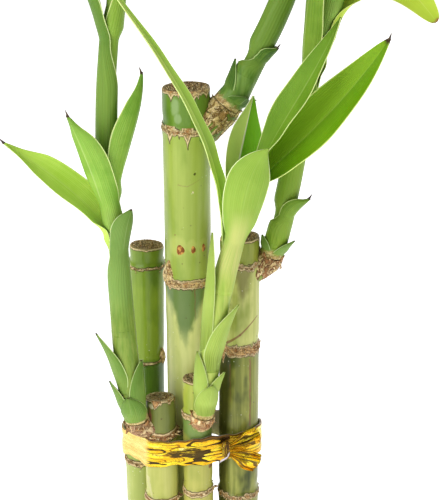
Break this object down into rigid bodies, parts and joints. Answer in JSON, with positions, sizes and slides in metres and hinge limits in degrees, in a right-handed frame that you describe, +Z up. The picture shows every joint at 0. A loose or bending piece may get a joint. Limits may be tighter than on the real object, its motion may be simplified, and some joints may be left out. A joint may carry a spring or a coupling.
{
  "type": "lucky bamboo",
  "caption": "Bundle of cut bamboo-like canes of different heights, tied with a crumpled foil band and knot, with leafy shoots growing from the canes.",
  "frame": {"origin": "centre of the tall cane's cut foot, in the plane that all the cut feet stand on", "axes": "+Z up along the canes, +X to the right of the side that shows the tie's knot, +Y away from it"},
  "size_m": [0.1494, 0.0674, 0.3251],
  "materials": {
    "cane": "satin",
    "cane_dark": "satin",
    "cane_pale": "satin",
    "stem": "satin",
    "stem_dark": "satin",
    "leaf": "satin",
    "leaf_young": "satin",
    "leaf_dark": "satin",
    "foil": "gloss"
  },
  "bodies": {
    "root": {"cane_tall": "cane", "cane_back_left": "cane_dark", "cane_front_left": "cane_pale", "cane_far_left": "cane", "cane_front": "cane_pale", "cane_right": "cane_dark", "foil_band": "foil", "foil_knot": "foil", "stem_left": "stem", "leaf_left_short": "leaf", "leaf_left_low": "leaf", "leaf_left_front": "leaf", "leaf_left_mid": "leaf", "leaf_left_high": "leaf", "leaf_left_upper": "leaf", "leaf_left_back": "leaf", "leaf_left_crown": "leaf", "leaf_left_spear": "leaf", "stem_front": "stem", "leaf_front_long": "leaf_young", "leaf_front_sheath": "leaf_young", "leaf_front_back": "leaf", "leaf_front_large": "leaf", "leaf_front_narrow": "leaf", "stem_right": "stem", "leaf_right_short": "leaf", "leaf_right_low": "leaf", "leaf_right_back": "leaf", "leaf_right_hanging": "leaf_young", "leaf_right_crown": "leaf", "leaf_right_spear": "leaf", "stem_tall": "stem_dark", "leaf_tall_short": "leaf_dark", "leaf_tall_low": "leaf_dark", "leaf_tall_mid": "leaf_dark", "leaf_tall_back": "leaf_dark", "leaf_tall_crown": "leaf_dark", "leaf_tall_spear": "leaf_dark"}
  },
  "joints": []
}
